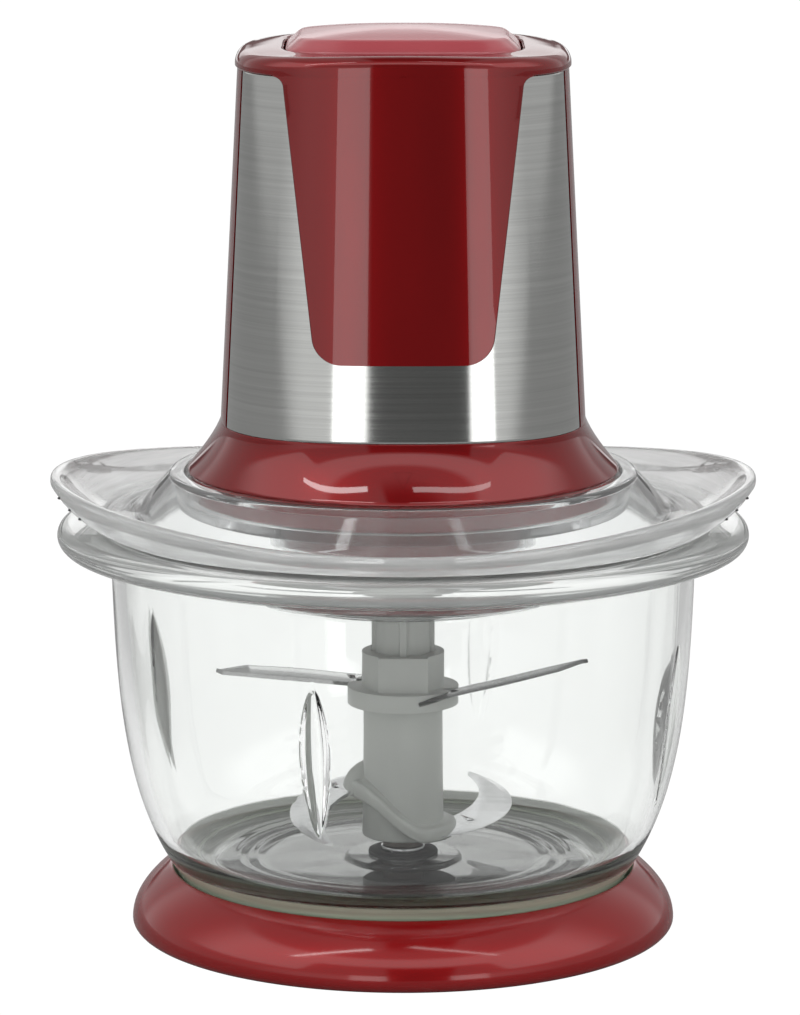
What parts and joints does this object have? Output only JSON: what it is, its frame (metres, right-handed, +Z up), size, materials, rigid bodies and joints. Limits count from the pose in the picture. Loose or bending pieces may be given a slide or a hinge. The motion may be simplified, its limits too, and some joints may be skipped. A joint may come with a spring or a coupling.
{
  "type": "electric food chopper",
  "caption": "Electric food chopper: glass bowl on a red base ring, blades on a centre pin, clear winged lid and a tapered motor unit with a steel front and a push button on top.",
  "frame": {"origin": "middle of the underside, where the chopper stands", "axes": "+Z up along the blade and motor axis, front with the steel wrap at -Y"},
  "size_m": [0.176, 0.1728, 0.228],
  "materials": {
    "red_gloss": "gloss",
    "red_satin": "satin",
    "rubber": "matte",
    "glass": "clear",
    "clear_plastic": "clear",
    "seal": "matte",
    "steel": "brushed",
    "bright_steel": "polished",
    "grey_plastic": "satin",
    "black_plastic": "matte",
    "white_plastic": "matte",
    "ivory_plastic": "satin",
    "bronze": "sintered",
    "can_steel": "zinc",
    "magnet": "matte",
    "core": "laminated",
    "copper": "enamelled",
    "carbon": "matte",
    "board": "satin"
  },
  "bodies": {
    "base": {"base_ring": "red_satin", "grip_ring": "rubber"},
    "bowl": {"glass_bowl": "glass", "bowl_pin": "bright_steel", "pin_washer": "rubber", "pin_nut": "bright_steel"},
    "blades": {"blade_hub": "grey_plastic", "hub_bushes": "bronze", "upper_blade_collar": "grey_plastic", "upper_blade_right": "bright_steel", "upper_blade_left": "bright_steel", "lower_blade_back": "bright_steel", "lower_blade_front": "bright_steel"},
    "lid": {"lid": "clear_plastic", "lid_seal": "seal"},
    "motor_unit": {"motor_housing": "red_gloss", "steel_wrap": "steel", "top_cover": "red_gloss", "cord_gland": "rubber", "gear_housing": "red_gloss", "ring_gear": "ivory_plastic", "gearbox_plate": "can_steel", "output_bush": "bronze", "motor_can": "can_steel", "motor_magnets": "magnet", "motor_end_cap": "black_plastic", "lower_bush": "bronze", "upper_bush": "bronze", "carbon_brushes": "carbon", "switch_bracket": "white_plastic", "switch_body": "black_plastic", "circuit_board": "board", "rectifier": "black_plastic", "capacitor": "ivory_plastic", "housing_screws": "bright_steel", "gearbox_screws": "bright_steel", "bracket_screws": "bright_steel", "button_springs": "bright_steel"},
    "button": {"push_button": "red_gloss"},
    "plunger": {"switch_plunger": "white_plastic"},
    "rotor": {"motor_shaft": "bright_steel", "armature_core": "core", "armature_windings": "copper", "commutator": "copper", "cooling_fan": "white_plastic", "sun_pinion": "bronze"},
    "carrier": {"planet_carrier": "ivory_plastic", "planet_pins": "bright_steel"},
    "planet_1": {"planet_gear_1": "ivory_plastic"},
    "planet_2": {"planet_gear_2": "ivory_plastic"},
    "planet_3": {"planet_gear_3": "ivory_plastic"}
  },
  "joints": [
    {"name": "bowl_lift", "type": "slide", "parent": "base", "child": "bowl", "axis": [0, 0, 1], "range_m": [0, 0.15]},
    {"name": "lid_lift", "type": "slide", "parent": "bowl", "child": "lid", "axis": [0, 0, 1], "range_m": [0, 0.15]},
    {"name": "motor_lift", "type": "slide", "parent": "lid", "child": "motor_unit", "axis": [0, 0, 1], "range_m": [0, 0.15]},
    {"name": "button_press", "type": "slide", "parent": "motor_unit", "child": "button", "axis": [0, 0, -1], "range_m": [0, 0.0035], "stiffness_N_per_m": 2200, "springref_m": -0.002, "deforming": ["button_springs"]},
    {"name": "plunger_press", "type": "slide", "parent": "motor_unit", "child": "plunger", "axis": [0, 0, -1], "range_m": [0, 0.0035]},
    {"name": "rotor_spin", "type": "hinge", "parent": "motor_unit", "child": "rotor", "pos_m": [0, 0, 0.14], "axis": [0, 0, 1], "continuous": true},
    {"name": "carrier_spin", "type": "hinge", "parent": "motor_unit", "child": "carrier", "pos_m": [0, 0, 0.095], "axis": [0, 0, 1], "continuous": true},
    {"name": "planet_1_spin", "type": "hinge", "parent": "carrier", "child": "planet_1", "pos_m": [0, 0.015, 0.1024], "axis": [0, 0, 1], "continuous": true},
    {"name": "planet_2_spin", "type": "hinge", "parent": "carrier", "child": "planet_2", "pos_m": [-0.01299, -0.0075, 0.1024], "axis": [0, 0, 1], "continuous": true},
    {"name": "planet_3_spin", "type": "hinge", "parent": "carrier", "child": "planet_3", "pos_m": [0.01299, -0.0075, 0.1024], "axis": [0, 0, 1], "continuous": true},
    {"name": "blade_spin", "type": "hinge", "parent": "bowl", "child": "blades", "pos_m": [0, 0, 0.04], "axis": [0, 0, 1], "continuous": true}
  ],
  "couplings": [
    {"joint": "plunger_press", "follows": "button_press", "ratio": 1},
    {"joint": "carrier_spin", "follows": "rotor_spin", "ratio": 0.2},
    {"joint": "planet_1_spin", "follows": "rotor_spin", "ratio": -0.53333},
    {"joint": "planet_2_spin", "follows": "rotor_spin", "ratio": -0.53333},
    {"joint": "planet_3_spin", "follows": "rotor_spin", "ratio": -0.53333},
    {"joint": "blade_spin", "follows": "rotor_spin", "ratio": 0.2}
  ]
}
